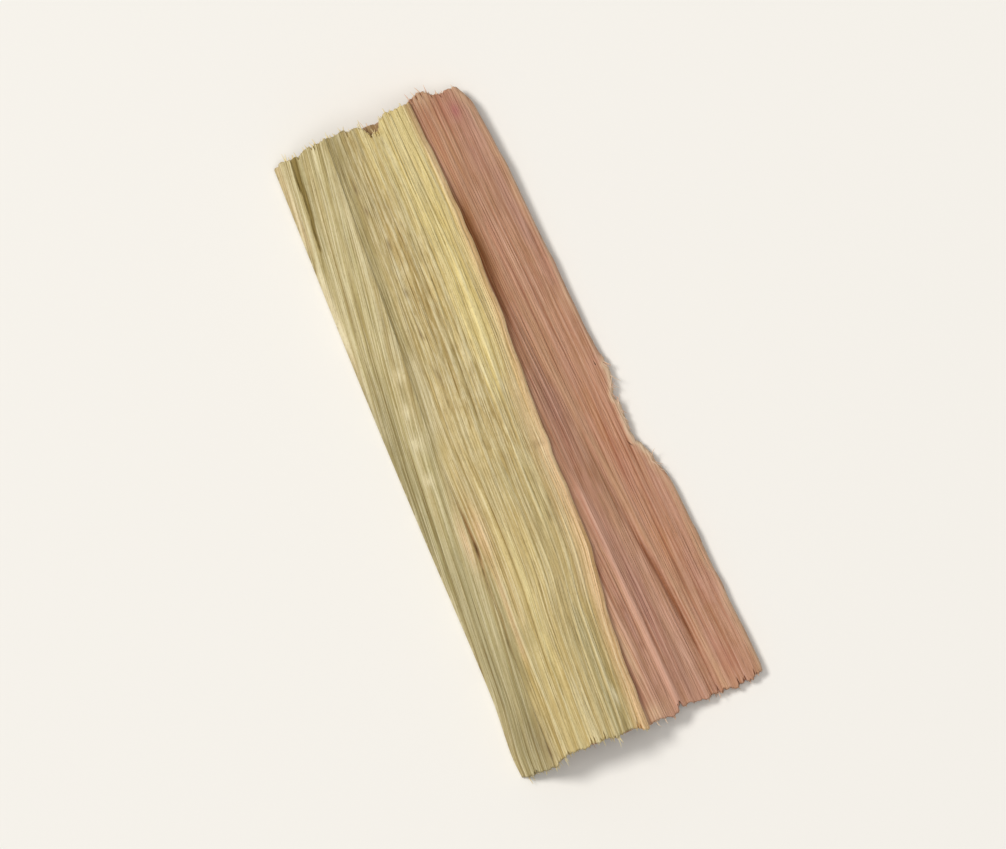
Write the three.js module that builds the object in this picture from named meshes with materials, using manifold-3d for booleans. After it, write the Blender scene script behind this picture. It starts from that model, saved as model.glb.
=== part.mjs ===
// One dried, cut piece of lemongrass stalk: a straw-coloured outer leaf sheath that still clasps the rose inner sheath
// it grew around. Millimetres, +Z up. The piece lies along Y with its foot cut (the root side) at -Y and its tip cut
// at +Y, and the origin is the middle of its bounding box, on the surface that it rests on.
import * as THREE from "three";
import { mergeVertices } from "three/addons/utils/BufferGeometryUtils.js";
import Module from "manifold-3d";

const { clamp, lerp, smoothstep } = THREE.MathUtils;

// ---- Driving dimensions -------------------------------------------------------------------------------------------

const FOOT_Y = -9.2; // nominal foot cut
const TIP_Y = 9.2; // nominal tip cut
const OUTER_THICKNESS = 0.6;
const INNER_THICKNESS = 0.6;
const SHEATH_GAP = 0.16; // the air between the two sheaths, square to their faces

const CREASE_HEIGHT = { foot: 1.42, tip: 1.58 }; // top of the outer sheath where it folds down into its flange
const CROWN = 0.34; // how far the outer sheath's back arches above its crease and its margin
const MARGIN_RISE = 0.02; // how far the margin's top lies above the crease's
const MARGIN_LIFT = 0.3; // how far the margin curls off the inner sheath where it stands highest
const LIFT_MIDDLE = 4.6; // where along Y the margin is lifted most
const LIFT_REACH = 2.7;
const FLANGE_EDGE = 0.42; // thickness of the flange's free edge, which stands on the surface
const THIN_MARGIN = 0.4; // thickness at the free margins
const THINNING_WIDTH = 0.2; // how far in from a free margin the sheet is thinner
const TUCKED_IN = 0.12; // how far the inner sheath reaches past the crease, inside the flange

const FLANGE_RIBS = 4;
const BODY_RIBS = 7;
const RIB_HEIGHT = 0.1;
const SMOOTH_BAND = 0.11; // share of the back, along its margin, that has no ribs
const CREASE_DEPTH = 0.12;
const CREASE_WIDTH = 0.12;

const PLEAT_HEIGHT = 0.1;
const PLEAT_WIDTH = 0.13;
const PLEAT_RUN_OUT = 1.5; // length over which a pleat or the groove fades
const GROOVE_DEPTH = 0.12;
const GROOVE_OFFSET = 0.22; // the groove runs this far left of the ridge
const GROOVE_END = -1.6; // it starts at the foot and has faded out here

const SPLIT = { apex: [-2.61, 6.27], mouth: [-2.1, 9.6], width: 0.3 }; // the crack that runs in from the tip cut

const CELLS_PER_RIB = 4;
const OUTER_ROWS = 26;
const INNER_ROWS = 34;

// ---- Lines along the piece, each a few [y, x] stations from foot to tip --------------------------------------------

const flangeEdge = curveThrough([
  [-9.12, -3.62],
  [-8.42, -3.63],
  [-6.7, -3.45],
  [-1.8, -3.28],
  [2.7, -3.09],
  [9.1, -2.73],
]);
const crease = curveThrough([
  [-9.1, -2.68],
  [-6.1, -2.45],
  [-2.8, -2.15],
  [0.3, -1.98],
  [2.7, -1.72],
  [9.2, -1.1],
]);
const outerMargin = curveThrough([
  [-9.2, 0.0],
  [-6.4, 0.2],
  [-4.0, 0.7],
  [-1.0, 0.92],
  [2.8, 1.24],
  [6.0, 1.39],
  [9.2, 1.38],
]);
const innerMargin = curveThrough([
  [-9.2, 3.6],
  [-8.9, 3.63],
  [-5.4, 3.58],
  [-3.4, 3.54],
  [-2.5, 3.32],
  [-1.6, 3.11],
  [-0.5, 3.14],
  [0.3, 3.3],
  [0.9, 3.19],
  [4.6, 3.14],
  [8.3, 3.0],
  [9.1, 2.72],
]);
const ridge = curveThrough([
  [-9.0, 2.48],
  [-6.0, 2.39],
  [-4.1, 2.2],
  [-2.2, 2.08],
  [-0.4, 1.9],
  [3.1, 1.79],
  [9.2, 1.7],
]);

// The inner sheath's two lesser pleats: both start at the foot and have faded out at the Y given.
const PLEATS = [
  { x: 1.16, end: -2.0 },
  { x: 0.6, end: -5.4 },
];

// The cut ends, each a few [x, y] stations from left to right: knife-cut, with a broken-out notch and a few tips.
const outerFoot = curveThrough([
  [-3.7, -9.08],
  [-2.9, -9.12],
  [-2.3, -9.04],
  [-1.2, -9.06],
  [-0.7, -9.14],
  [-0.3, -9.08],
  [0.0, -9.3],
]);
const outerTip = curveThrough([
  [-2.9, 9.04],
  [-1.6, 9.2],
  [-0.2, 9.08],
  [0.1, 8.82],
  [0.3, 8.84],
  [0.5, 9.1],
  [1.4, 9.14],
]);
const innerFoot = curveThrough([
  [-2.8, -8.9],
  [0.1, -9.16],
  [0.7, -9.22],
  [1.1, -9.02],
  [1.5, -9.16],
  [3.7, -9.2],
]);
const innerTip = curveThrough([
  [-1.4, 8.95],
  [1.2, 9.1],
  [1.8, 9.31],
  [2.1, 9.05],
  [2.6, 9.02],
  [3.0, 8.75],
  [3.2, 8.3],
]);

// A smooth function through stations in rising order. Past the first and the last station it keeps their values.
function curveThrough(stations) {
  const last = stations.length - 1;
  const slopes = stations.map((_, i) => {
    const [a0, b0] = stations[Math.max(i - 1, 0)];
    const [a1, b1] = stations[Math.min(i + 1, last)];
    return (b1 - b0) / (a1 - a0);
  });
  return (at) => {
    const a = clamp(at, stations[0][0], stations[last][0]);
    const i = Math.min(stations.findIndex(([next], k) => k > 0 && a <= next), last) - 1;
    const [a0, b0] = stations[i];
    const [a1, b1] = stations[i + 1];
    const span = a1 - a0;
    const t = (a - a0) / span;
    const ease = t * t * (3 - 2 * t);
    return lerp(b0, b1, ease) + span * t * (1 - t) * (slopes[i] * (1 - t) - slopes[i + 1] * t);
  };
}

const bump = (distance, width) => Math.exp(-((distance / width) ** 2));

// ---- Heights ------------------------------------------------------------------------------------------------------

// How far the outer margin is lifted off the inner sheath at y.
const marginLift = (y) => MARGIN_LIFT * bump(y - LIFT_MIDDLE, LIFT_REACH);

// Top of the outer sheath's back and flange, without ribs.
function outerTop(x, y, lift = marginLift(y)) {
  const creaseX = crease(y);
  const creaseZ = lerp(CREASE_HEIGHT.foot, CREASE_HEIGHT.tip, (y - FOOT_Y) / (TIP_Y - FOOT_Y));
  if (x < creaseX) {
    const down = (creaseX - x) / (creaseX - flangeEdge(y));
    return lerp(creaseZ, FLANGE_EDGE, down);
  }
  const over = (x - creaseX) / (outerMargin(y) - creaseX);
  return creaseZ + MARGIN_RISE * over + 4 * CROWN * over * (1 - over) + lift * over * over;
}

// A sheet's thickness measured straight down, where its face slopes.
function drop(top, x, y, thickness) {
  const reach = 0.12;
  const slope = (top(x + reach, y) - top(x - reach, y)) / (2 * reach);
  return thickness * Math.hypot(1, slope);
}

// Top of the inner sheath. Under the outer one it keeps the gap; from the margin out it falls to a flat panel.
function innerTop(x, y) {
  const settled = (px, py) => outerTop(px, py, 0);
  const under = (px) => settled(px, y) - drop(settled, px, y, OUTER_THICKNESS + SHEATH_GAP);
  const freeFrom = outerMargin(y) - THINNING_WIDTH;
  if (x <= freeFrom) return under(x);
  return lerp(under(freeFrom), INNER_THICKNESS, smoothstep(x, freeFrom, ridge(y)));
}

// ---- Relief -------------------------------------------------------------------------------------------------------

// The outer sheath's ribs, as long as the piece, in step with the columns of its sheet.
function ribs(across) {
  const onFlange = across < FLANGE_SHARE;
  const along = onFlange ? across / FLANGE_SHARE : (across - FLANGE_SHARE) / (1 - FLANGE_SHARE - BAND_SHARE);
  const count = onFlange ? FLANGE_RIBS : BODY_RIBS;
  return along > 1 ? 0 : 0.5 - 0.5 * Math.cos(2 * Math.PI * along * count);
}

// The inner sheath's long ridge, its lesser pleats and the groove beside the ridge.
function pleats(x, y) {
  const fade = (end) => 1 - smoothstep(y, end - PLEAT_RUN_OUT, end);
  let height = PLEAT_HEIGHT * bump(x - ridge(y), PLEAT_WIDTH);
  for (const pleat of PLEATS) height += PLEAT_HEIGHT * fade(pleat.end) * bump(x - pleat.x, PLEAT_WIDTH);
  return height - GROOVE_DEPTH * fade(GROOVE_END) * bump(x - ridge(y) + GROOVE_OFFSET, PLEAT_WIDTH);
}

// ---- Sheets -------------------------------------------------------------------------------------------------------

const FLANGE_CELLS = FLANGE_RIBS * CELLS_PER_RIB;
const BACK_CELLS = BODY_RIBS * CELLS_PER_RIB;
const BAND_CELLS = 3;
const OUTER_TOTAL = FLANGE_CELLS + BACK_CELLS + BAND_CELLS;
const FLANGE_SHARE = FLANGE_CELLS / OUTER_TOTAL;
const BAND_SHARE = BAND_CELLS / OUTER_TOTAL;
const INNER_CELLS = [14, 14, 2, 8]; // under the outer sheath, on to the groove, up the ridge, and the flat panel
const INNER_TOTAL = INNER_CELLS.reduce((sum, cells) => sum + cells, 0);

// A closed sheet of columns x rows cells. place(across, along, upper) gives each corner's [x, y, z]: across runs from
// 0 at the left margin to 1 at the right one, and along from 0 at the foot cut to 1 at the tip cut.
function sheet(columns, rows, place) {
  const box = new THREE.BoxGeometry(1, 1, 1, columns, rows, 1);
  box.deleteAttribute("normal");
  box.deleteAttribute("uv");
  const geometry = mergeVertices(box, 1e-6);
  const corners = geometry.attributes.position;
  for (let i = 0; i < corners.count; i++) {
    const upper = corners.getZ(i) > 0;
    corners.setXYZ(i, ...place(corners.getX(i) + 0.5, corners.getY(i) + 0.5, upper));
  }
  return geometry;
}

// Places a column of a sheet between lines that run along the piece: lines[k] lies at stops[k] of the way across.
function acrossLines(lines, stops) {
  return (across, y) => {
    const k = Math.max(stops.findIndex((stop) => across <= stop + 1e-9), 1);
    const t = (across - stops[k - 1]) / (stops[k] - stops[k - 1]);
    return lerp(lines[k - 1](y), lines[k](y), t);
  };
}

// The corner of a sheet at (across, along): its rows fan out between the two cuts.
function spread(column, foot, tip, across, along) {
  const y = lerp(foot(column(across, FOOT_Y)), tip(column(across, TIP_Y)), along);
  return [column(across, y), y];
}

// A sheath's thickness at this distance from its free margin.
const thinned = (thickness, distance) => lerp(THIN_MARGIN, thickness, smoothstep(distance, 0, THINNING_WIDTH));

function outerSheath() {
  const bandEdge = (y) => lerp(outerMargin(y), crease(y), SMOOTH_BAND);
  const column = acrossLines(
    [flangeEdge, crease, bandEdge, outerMargin],
    [0, FLANGE_SHARE, 1 - BAND_SHARE, 1],
  );
  return sheet(OUTER_TOTAL, OUTER_ROWS, (across, along, upper) => {
    const [x, y] = spread(column, outerFoot, outerTip, across, along);
    const top = outerTop(x, y);
    if (upper) return [x, y, top + RIB_HEIGHT * ribs(across) - CREASE_DEPTH * bump(x - crease(y), CREASE_WIDTH)];
    const thickness = thinned(OUTER_THICKNESS, outerMargin(y) - x);
    return [x, y, Math.max(0, top - drop(outerTop, x, y, thickness))];
  });
}

function innerSheath() {
  const tucked = (y) => crease(y) - TUCKED_IN;
  const groove = (y) => ridge(y) - GROOVE_OFFSET;
  const stops = [0];
  for (const cells of INNER_CELLS) stops.push(stops.at(-1) + cells / INNER_TOTAL);
  const column = acrossLines([tucked, outerMargin, groove, ridge, innerMargin], stops);
  return sheet(INNER_TOTAL, INNER_ROWS, (across, along, upper) => {
    const [x, y] = spread(column, innerFoot, innerTip, across, along);
    const top = innerTop(x, y);
    if (!upper) return [x, y, Math.max(0, top - drop(innerTop, x, y, INNER_THICKNESS))];
    const bare = smoothstep(x - outerMargin(y), -0.1, 0.15); // pleats are pressed flat under the outer sheath
    const thinning = INNER_THICKNESS - thinned(INNER_THICKNESS, innerMargin(y) - x);
    return [x, y, top + bare * pleats(x, y) - thinning];
  });
}

// ---- The crack, cut out of the outer sheath ------------------------------------------------------------------------

const wasm = await Module();
wasm.setup();

function solid(geometry) {
  const bare = geometry.clone();
  bare.deleteAttribute("normal");
  bare.deleteAttribute("uv");
  const merged = mergeVertices(bare, 1e-5);
  return new wasm.Manifold(
    new wasm.Mesh({
      numProp: 3,
      vertProperties: merged.attributes.position.array,
      triVerts: new Uint32Array(merged.index.array),
    }),
  );
}

function fromSolid(body) {
  const mesh = body.getMesh();
  const geometry = new THREE.BufferGeometry();
  geometry.setAttribute("position", new THREE.BufferAttribute(mesh.vertProperties, 3));
  geometry.setIndex(new THREE.BufferAttribute(mesh.triVerts, 1));
  geometry.computeVertexNormals();
  return geometry;
}

function splitWedge() {
  const [mouthX, mouthY] = SPLIT.mouth;
  const outline = new THREE.Shape([
    new THREE.Vector2(...SPLIT.apex),
    new THREE.Vector2(mouthX + SPLIT.width / 2, mouthY),
    new THREE.Vector2(mouthX - SPLIT.width / 2, mouthY),
  ]);
  const wedge = new THREE.ExtrudeGeometry(outline, { depth: 4, bevelEnabled: false });
  return wedge.translate(0, 0, -1);
}

// ---- The part -----------------------------------------------------------------------------------------------------

const straw = new THREE.MeshStandardMaterial({ color: "#c0ae7b", roughness: 0.78, metalness: 0 });
const rose = new THREE.MeshStandardMaterial({ color: "#b38569", roughness: 0.72, metalness: 0 });

const outer = new THREE.Mesh(fromSolid(solid(outerSheath()).subtract(solid(splitWedge()))), straw);
outer.name = "outer_sheath";

const inner = new THREE.Mesh(fromSolid(solid(innerSheath())), rose);
inner.name = "inner_sheath";

const stalkPiece = new THREE.Group();
stalkPiece.name = "lemongrass_stalk_piece";
stalkPiece.add(outer, inner);

export default stalkPiece;
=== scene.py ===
# %% [markdown]
# # A dried, cut piece of lemongrass stalk
#
# A lemongrass stalk is made of leaf sheaths rolled round one another. For tea it is cut across into short
# lengths and dried, and the sheaths open out into gently arched strips. This piece is two of them that
# stayed together: a straw-coloured outer sheath, ribbed by its veins, over the rose inner sheath that it
# grew around.
#
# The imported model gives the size, place and main form of both. This script builds finer meshes in the
# same place, with the ribs, the crack and the torn edges of the real thing, and gives each one a finish
# made of shader nodes.

# %% Load the fixed frame
import math

import bpy
import numpy as np
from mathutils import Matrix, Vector


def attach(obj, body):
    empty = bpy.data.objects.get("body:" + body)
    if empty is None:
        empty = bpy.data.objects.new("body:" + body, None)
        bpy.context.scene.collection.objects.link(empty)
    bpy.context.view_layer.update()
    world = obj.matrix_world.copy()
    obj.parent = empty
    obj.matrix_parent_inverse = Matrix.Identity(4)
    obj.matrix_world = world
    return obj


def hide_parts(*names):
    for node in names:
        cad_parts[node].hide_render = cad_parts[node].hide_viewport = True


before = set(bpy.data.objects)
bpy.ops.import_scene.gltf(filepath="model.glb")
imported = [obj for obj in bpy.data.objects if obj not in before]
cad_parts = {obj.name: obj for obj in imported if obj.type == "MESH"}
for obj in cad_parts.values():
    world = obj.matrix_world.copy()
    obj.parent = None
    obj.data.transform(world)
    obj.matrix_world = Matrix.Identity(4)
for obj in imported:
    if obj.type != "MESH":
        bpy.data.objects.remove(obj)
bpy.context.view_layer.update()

MM = 0.001


def add_object(name, data):
    made = bpy.data.objects.new(name, data)
    bpy.context.scene.collection.objects.link(made)
    return made


# %% [markdown]
# ## Lines along the piece
#
# Everything on a leaf sheath runs with its veins, so the piece is drawn with a few long lines: the edges
# of both sheaths, the crease where the outer one folds down, and the ridge of the inner one. Each line
# needs only a few stations, [y, x] in millimetres from the foot cut to the tip cut, and a smooth curve
# fills in the rest. They keep within 0.15 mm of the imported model's own lines, so the fine meshes land
# where its solids are.

# %% A smooth curve through stations
def curve_through(*stations):
    at, value = np.array(stations, float).T
    number = np.arange(len(at))
    before, after = np.maximum(number - 1, 0), np.minimum(number + 1, len(at) - 1)
    slope = (value[after] - value[before]) / (at[after] - at[before])

    def curve(a):
        a = np.clip(a, at[0], at[-1])
        i = np.clip(np.searchsorted(at, a) - 1, 0, len(at) - 2)
        span = at[i + 1] - at[i]
        t = (a - at[i]) / span
        ease = t * t * (3 - 2 * t)
        bow = span * t * (1 - t) * (slope[i] * (1 - t) - slope[i + 1] * t)
        return value[i] + (value[i + 1] - value[i]) * ease + bow

    return curve


# %% The long lines
FOOT_Y, TIP_Y = -9.2, 9.2
flange_edge = curve_through(
    [-9.12, -3.62], [-8.42, -3.63], [-6.7, -3.45], [-1.8, -3.28], [2.7, -3.09], [9.1, -2.73]
)
crease = curve_through([-9.1, -2.68], [-6.1, -2.45], [-2.8, -2.15], [0.3, -1.98], [2.7, -1.72], [9.2, -1.1])
outer_margin = curve_through(
    [-9.2, 0.11], [-7.0, 0.3], [-5.5, 0.49], [-4.0, 0.76], [-1.0, 0.92], [2.8, 1.24], [6.0, 1.39], [9.2, 1.38]
)
inner_margin = curve_through(
    [-9.2, 3.6], [-8.9, 3.63], [-5.4, 3.58], [-3.4, 3.54], [-2.5, 3.32], [-1.6, 3.11],
    [-0.5, 3.14], [0.3, 3.3], [0.9, 3.19], [4.6, 3.14], [8.3, 3.0], [9.1, 2.72],
)
ridge = curve_through(
    [-9.0, 2.48], [-6.0, 2.39], [-4.1, 2.2], [-2.2, 2.08], [-0.4, 1.9], [3.1, 1.79], [9.2, 1.7]
)
print("outer sheath is", round(float(outer_margin(0) - flange_edge(0)), 2), "mm wide half-way along")

# %% The cut ends, as [x, y] stations from left to right
outer_foot = curve_through(
    [-3.7, -9.08], [-2.8, -9.2], [-2.3, -9.06], [-1.2, -9.06], [-0.7, -9.14], [-0.3, -9.08], [0.0, -9.28]
)
outer_tip = curve_through(
    [-2.9, 9.04], [-1.6, 9.2], [-0.2, 9.08], [0.1, 8.82], [0.3, 8.84], [0.5, 9.1], [1.4, 9.14]
)
inner_foot = curve_through(
    [-2.8, -8.9], [0.1, -9.2], [0.7, -9.24], [1.1, -9.24], [1.5, -9.18], [3.0, -9.3], [3.7, -9.18]
)
inner_tip = curve_through(
    [-1.4, 8.95], [1.2, 9.1], [1.8, 9.31], [2.1, 9.05], [2.6, 9.02], [3.0, 8.75], [3.2, 8.3]
)

# %% [markdown]
# ## The form of the two sheaths
#
# Each sheath is a thin sheet, so one height for its upper face and one for its lower face say all there
# is to say. The outer sheath rises from its flange to a crease, arches over its back and ends in a margin
# that has curled up a little near the tip. The inner one follows it underneath, then runs out to the
# right into a flat panel.

# %% Small helpers for heights
def smooth(value, low, high):
    t = np.clip((value - low) / (high - low), 0, 1)
    return t * t * (3 - 2 * t)


def bump(distance, width):
    return np.exp(-((distance / width) ** 2))


def mix(a, b, share):
    return a + (b - a) * share


def between(value, low, high, soft):
    """1 from low to high, with soft ends."""
    return smooth(value, low, low + soft) * (1 - smooth(value, high - soft, high))


WANDER_CELLS = 97


def wander(seed, x, y, cell_x, cell_y):
    """Smooth random values from -1 to 1, with a new one every cell_x by cell_y millimetres."""
    table = np.random.default_rng(seed).uniform(-1, 1, (WANDER_CELLS, WANDER_CELLS))
    u, v = np.broadcast_arrays(np.asarray(x, float) / cell_x, np.asarray(y, float) / cell_y)
    i, j = np.floor(u).astype(int), np.floor(v).astype(int)
    s, t = smooth(u - i, 0, 1), smooth(v - j, 0, 1)

    def corner(right, up):
        return table[(i + right) % WANDER_CELLS, (j + up) % WANDER_CELLS]

    return mix(mix(corner(0, 0), corner(1, 0), s), mix(corner(0, 1), corner(1, 1), s), t)


# %% The outer sheath's height and thickness
CREASE_Z_FOOT, CREASE_Z_TIP = 1.42, 1.58
CROWN = 0.41
MARGIN_FALL = 0.08
MARGIN_LIFT, LIFT_MIDDLE, LIFT_REACH = 0.27, 4.7, 1.6
FLANGE_EDGE_Z = 0.28
OUTER_THICKNESS = 0.36
FLANGE_THINNING, MARGIN_THINNING, THINNING_WIDTH = 0.14, 0.22, 0.55


def outer_top(x, y, lift=MARGIN_LIFT):
    crease_x = crease(y)
    crease_z = mix(CREASE_Z_FOOT, CREASE_Z_TIP, (y - FOOT_Y) / (TIP_Y - FOOT_Y))
    down = (crease_x - x) / (crease_x - flange_edge(y))
    flange = mix(crease_z, FLANGE_EDGE_Z, down)
    over = (x - crease_x) / (outer_margin(y) - crease_x)
    curl = lift * bump(y - LIFT_MIDDLE, LIFT_REACH) * over**3
    back = crease_z - MARGIN_FALL * over + 4 * CROWN * over * (1 - over) + curl
    return np.where(x < crease_x, flange, back)


def near_margin(x, y):
    return smooth(outer_margin(y) - x, THINNING_WIDTH, 0)


def outer_thickness(x, y):
    near_flange_edge = smooth(x - flange_edge(y), THINNING_WIDTH, 0)
    return OUTER_THICKNESS - FLANGE_THINNING * near_flange_edge - MARGIN_THINNING * near_margin(x, y)


def drop(top, x, y, thickness):
    """A sheet's thickness measured straight down, where its face slopes."""
    reach = 0.12
    slope = (top(x + reach, y) - top(x - reach, y)) / (2 * reach)
    return thickness * np.hypot(1, slope)


# %% The inner sheath's height
INNER_THICKNESS = 0.4
GAP_INSIDE, GAP_AT_MARGIN = 0.1, 0.05
FREE_WIDTH = 0.06
PANEL_Z_FOOT, PANEL_Z_TIP = 0.42, 0.66
FALL_WIDTH_FOOT, FALL_WIDTH_TIP = 2.3, 1.65
FALL_CURVE = 1.25
PANEL_RISES_ALONG, FALL_NARROWS_ALONG = (0.5, 10), (-4, 2)


def settled_top(x, y):
    return outer_top(x, y, lift=0)


def inner_top(x, y):
    """It hugs the outer sheath up to that one's margin, then falls to the panel, which rises to the tip."""
    free_from = outer_margin(y) - FREE_WIDTH
    tucked_x = np.minimum(x, free_from)
    gap = mix(GAP_INSIDE, GAP_AT_MARGIN, near_margin(tucked_x, y))
    under = settled_top(tucked_x, y) - drop(settled_top, tucked_x, y, outer_thickness(tucked_x, y) + gap)
    panel = mix(PANEL_Z_FOOT, PANEL_Z_TIP, smooth(y, *PANEL_RISES_ALONG))
    fall_width = mix(FALL_WIDTH_FOOT, FALL_WIDTH_TIP, smooth(y, *FALL_NARROWS_ALONG))
    left = 1 - np.clip((x - free_from) / fall_width, 0, 1)
    return mix(panel, under, left**FALL_CURVE)


# %% [markdown]
# ## A sheet from a grid of points
#
# Blender has no ready shape for a torn, ribbed leaf. A plane with a Solidify modifier would give an even
# thickness and square edges, and the edges are what one looks at here. So the mesh is made directly: one
# grid of points for the upper face, one for the lower, and walls of several rows between them all the way
# round.

# %% Closed sheet
WALL_ROWS = 4
SKIN, UNDER, CUT = 0, 1, 2
SHARP_ANGLE = math.radians(55)


def rim_of(shape):
    """The cells of a grid, and where each edge round it starts and ends, counter-clockwise from above."""
    number = np.arange(shape[0] * shape[1]).reshape(shape)
    corners = [number[:-1, :-1], number[:-1, 1:], number[1:, 1:], number[1:, :-1]]
    cells = np.stack(corners, axis=-1).reshape(-1, 4)
    start = np.concatenate([number[0, :-1], number[:-1, -1], number[-1, :0:-1], number[:0:-1, 0]])
    return cells, start, np.roll(start, -1)


def wall_points(top, under, start, end, bulge):
    """The points between the upper and the lower face at the rim, pushed outwards as far as bulge says."""
    along = top[end] - top[start]
    outward = np.zeros((len(top), 2))
    for at in (start, end):
        np.add.at(outward, at, np.stack([along[:, 1], -along[:, 0]], axis=-1))
    outward /= np.maximum(np.linalg.norm(outward, axis=1, keepdims=True), 1e-9)
    rows = []
    for row in range(1, WALL_ROWS):
        share = row / WALL_ROWS
        points = mix(top[start], under[start], share)
        points[:, :2] += outward[start] * bulge(top[start], outward[start], share)[:, None]
        rows.append(points)
    return rows


def closed_sheet(name, top, under, bulge, marks):
    """A mesh object from two grids of points in mm. marks holds a value a point for each named attribute."""
    flat_top, flat_under = top.reshape(-1, 3), under.reshape(-1, 3)
    quads, start, end = rim_of(top.shape[:2])
    walls = wall_points(flat_top, flat_under, start, end, bulge)
    size = len(flat_top)
    points = np.concatenate([flat_top, flat_under, *walls])
    source = np.concatenate([np.arange(size), np.arange(size), *[start] * len(walls)])
    wall_depths = [np.full(len(start), row / WALL_ROWS) for row in range(1, WALL_ROWS)]
    depth = np.concatenate([np.zeros(size), np.ones(size), *wall_depths])
    place = np.empty(size, int)
    place[start] = np.arange(len(start))
    ladder = [lambda p: p]
    for row in range(WALL_ROWS - 1):
        ladder.append(lambda p, row=row: 2 * size + row * len(start) + place[p])
    ladder.append(lambda p: p + size)
    faces = [quads, quads[:, ::-1] + size]
    for upper, lower in zip(ladder[:-1], ladder[1:]):
        faces.append(np.stack([upper(end), upper(start), lower(start), lower(end)], axis=-1))
    along = flat_top[end] - flat_top[start]
    across_veins = np.abs(along[:, 0]) > np.abs(along[:, 1])
    wall_kinds = [np.where(across_veins, CUT, SKIN)] * WALL_ROWS
    kinds = np.concatenate([np.full(len(quads), SKIN), np.full(len(quads), UNDER), *wall_kinds])
    values = {label: mark.reshape(-1)[source] for label, mark in marks.items()} | {"depth": depth}
    return mesh_object(name, points, np.concatenate(faces), kinds, values)


def mesh_object(name, points, faces, kinds, values):
    mesh = bpy.data.meshes.new(name)
    mesh.from_pydata((points * MM).tolist(), [], faces.tolist())
    for label, value in values.items():
        mesh.attributes.new(label, "FLOAT", "POINT").data.foreach_set("value", value.astype(np.float32))
    for label, kind in {"under": UNDER, "cut": CUT}.items():
        on = (kinds == kind).astype(np.float32)
        mesh.attributes.new(label, "FLOAT", "FACE").data.foreach_set("value", on)
    mesh.shade_smooth()
    mesh.set_sharp_from_angle(angle=SHARP_ANGLE)
    mesh.validate()
    print(name, "has", len(mesh.polygons), "faces")
    return add_object(name, mesh)


# %% Grids of columns and rows
ROWS = 214
CROWDING = 0.7


def stops(*shares):
    """Where each of several bands starts and ends across a sheet, from their shares of its columns."""
    total = np.cumsum([0, *shares])
    return total / total[-1]


def closer_at_ends(count, crowding):
    """Numbers from 0 to 1 that lie closer together near both ends."""
    t = np.linspace(0, 1, count)
    return t - crowding * np.sin(2 * np.pi * t) / (2 * np.pi)


def grid(lines, at, columns, foot, tip):
    """across, along, x and y of every point. lines[k] lies at[k] of the way across."""
    across, along = np.meshgrid(np.linspace(0, 1, columns + 1), closer_at_ends(ROWS + 1, CROWDING))

    def column(y):
        table = np.stack([line(y) for line in lines])
        k = np.clip(np.searchsorted(at, across, side="right") - 1, 0, len(lines) - 2)
        t = (across - at[k]) / (at[k + 1] - at[k])
        left, right = (np.take_along_axis(table, number[None], axis=0)[0] for number in (k, k + 1))
        return mix(left, right, t)

    ends = [cut(column(np.full_like(across, y)), across) for cut, y in ((foot, FOOT_Y), (tip, TIP_Y))]
    y = mix(*ends, along)
    return across, along, column(y), y


# %% [markdown]
# ## The outer sheath
#
# Its veins stand up as long ribs with sharp grooves between them, a little under a third of a millimetre
# apart, and between those run finer ones. On the flange they slant, and meet the crease one after
# another. Where the sheath dried last the ribs puckered. The ribs are made as geometry because they catch
# the light from every side, and only what is finer than a fibre is left to the bump of the finish.

# %% Ribs
FLANGE_RIBS, BACK_RIBS = 5, 10
ALL_RIBS = FLANGE_RIBS + BACK_RIBS
BAND_IN_RIBS = 0.8
RIB_HEIGHT, RIB_SPACING = 0.04, 0.29
RIB_SHARPNESS = 0.6
OUTER_COLUMNS = (66, 132, 16)
OUTER_AT = stops(*OUTER_COLUMNS)

# The flange's veins drift to the right by this many ribs a millimetre on their way to the tip.
FLANGE_SLANT = 0.33


def rib_phase(across):
    """Counts the ribs from the flange's edge: a whole number in each groove."""
    return np.interp(across, OUTER_AT, [0, FLANGE_RIBS, ALL_RIBS, ALL_RIBS + BAND_IN_RIBS])


def rib_shape(phase):
    """0 in a groove and 1 on the crown of a rib."""
    return np.abs(np.sin(np.pi * phase)) ** RIB_SHARPNESS


print("ribs across the outer sheath:", ALL_RIBS)

# %% [markdown]
# Along the fold the sheath cracked as it dried. In the tip half the crack is only a dull crease. A third
# of the way from the foot it is a small hole with lifted lips, and a hairline runs from there towards
# both ends. Another crack runs in from the tip cut along the flange, and goes a good third of the way
# through it.

# %% Cracks
CRACK_WANDER, CRACK_OFFSET = 0.035, 0.02
HAIRLINE_FOOT, HAIRLINE_TIP, HAIRLINE_FADE = -6.6, -1.0, 1.2
HAIRLINE_WIDTH, HAIRLINE_DEPTH = 0.035, 0.08
HOLE_Y = -2.81
HOLE_WIDTH, HOLE_LENGTH, HOLE_DEPTH = 0.05, 0.18, 0.09
LIPS_FOOT, LIPS_TIP, LIPS_FADE = -4.6, -0.9, 0.8
LIP_OFFSET, LIP_WIDTH, LIP_HEIGHT = 0.13, 0.08, 0.06
CREASE_LINE_OFFSET, CREASE_LINE_WIDTH, CREASE_LINE_DEPTH = 0.1, 0.14, 0.07
CREASE_LINE_STARTS = (-1.0, 1.5)
SPLIT_APEX, SPLIT_MOUTH = (-2.54, 6.27), (-2.13, 9.2)
SPLIT_START, SPLIT_WIDTH, SPLIT_DEPTH = 0.05, 0.2, 0.14


def from_crack(x, y):
    return x - crease(y) - CRACK_WANDER * wander(16, 0, y, 1, 0.7) - CRACK_OFFSET


def hole(x, y):
    return bump(from_crack(x, y), HOLE_WIDTH) * bump(y - HOLE_Y, HOLE_LENGTH)


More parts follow.
